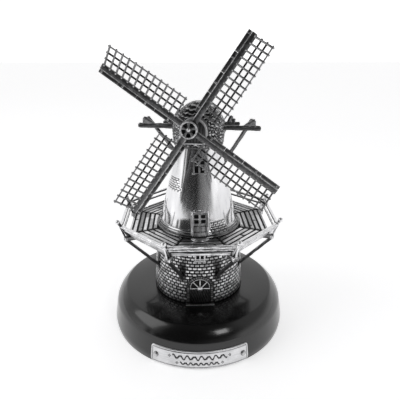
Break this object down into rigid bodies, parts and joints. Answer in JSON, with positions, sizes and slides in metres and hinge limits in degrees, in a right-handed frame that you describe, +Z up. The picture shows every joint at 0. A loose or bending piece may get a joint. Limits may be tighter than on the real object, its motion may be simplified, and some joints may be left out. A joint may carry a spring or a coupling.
{
  "type": "silver model of a round brick stage windmill",
  "caption": "Silver model of a round stage windmill with turning lattice sails and cap, braced gallery and arched door, on a turned black wooden plinth.",
  "frame": {"origin": "middle of the plinth's underside", "axes": "+Z up; the mill's arched door faces -Y; +X is to the right of someone facing the door"},
  "size_m": [0.1, 0.1006, 0.1586],
  "materials": {
    "black_lacquer": "gloss black lacquer",
    "satin_silver": "satin silver",
    "polished_silver": "mirror polished silver",
    "aged_silver": "silver darkened in its recesses",
    "dark_silver": "oxidised silver",
    "dark_pane": "black recess"
  },
  "bodies": {
    "mill": {"plinth": "black_lacquer", "name_plate": "satin_silver", "plate_pins": "satin_silver", "brick_base": "aged_silver", "doorway_arch": "aged_silver", "door_leaf": "dark_silver", "fanlight_bars": "aged_silver", "fanlight_pane": "dark_pane", "door_step": "aged_silver", "base_window_frames": "aged_silver", "base_window_panes": "dark_pane", "stage_beams": "aged_silver", "stage_braces": "aged_silver", "stage_deck": "aged_silver", "rail_posts": "aged_silver", "post_caps": "aged_silver", "post_struts": "aged_silver", "mid_rails": "aged_silver", "top_rails": "aged_silver", "foot_ring": "polished_silver", "tower_body": "polished_silver", "crescent_steps": "aged_silver", "stage_door_frames": "aged_silver", "stage_door_leaves": "dark_silver", "tower_window_frames": "aged_silver", "tower_window_panes": "dark_pane"},
    "cap": {"cap_curb": "polished_silver", "cap_body": "aged_silver", "cap_front": "dark_silver", "shaft_bearing": "aged_silver", "long_beam": "dark_silver", "short_beam": "dark_silver", "long_braces": "dark_silver", "short_braces": "dark_silver", "tail_pole": "dark_silver"},
    "sails": {"windshaft": "dark_silver", "hub_collar": "dark_silver", "hub_wheel": "dark_silver", "stock_a": "dark_silver", "stock_b": "dark_silver", "wind_boards": "dark_silver", "sail_lattice_1": "dark_silver", "sail_lattice_2": "dark_silver", "sail_lattice_3": "dark_silver", "sail_lattice_4": "dark_silver"}
  },
  "joints": [
    {"name": "cap_turn", "type": "hinge", "parent": "mill", "child": "cap", "pos_m": [0, 0, 0.106], "axis": [0, 0, 1], "continuous": true},
    {"name": "sail_turn", "type": "hinge", "parent": "cap", "child": "sails", "pos_m": [0, 0, 0.114], "axis": [-0.1758, -0.9773, 0.1184], "continuous": true}
  ]
}
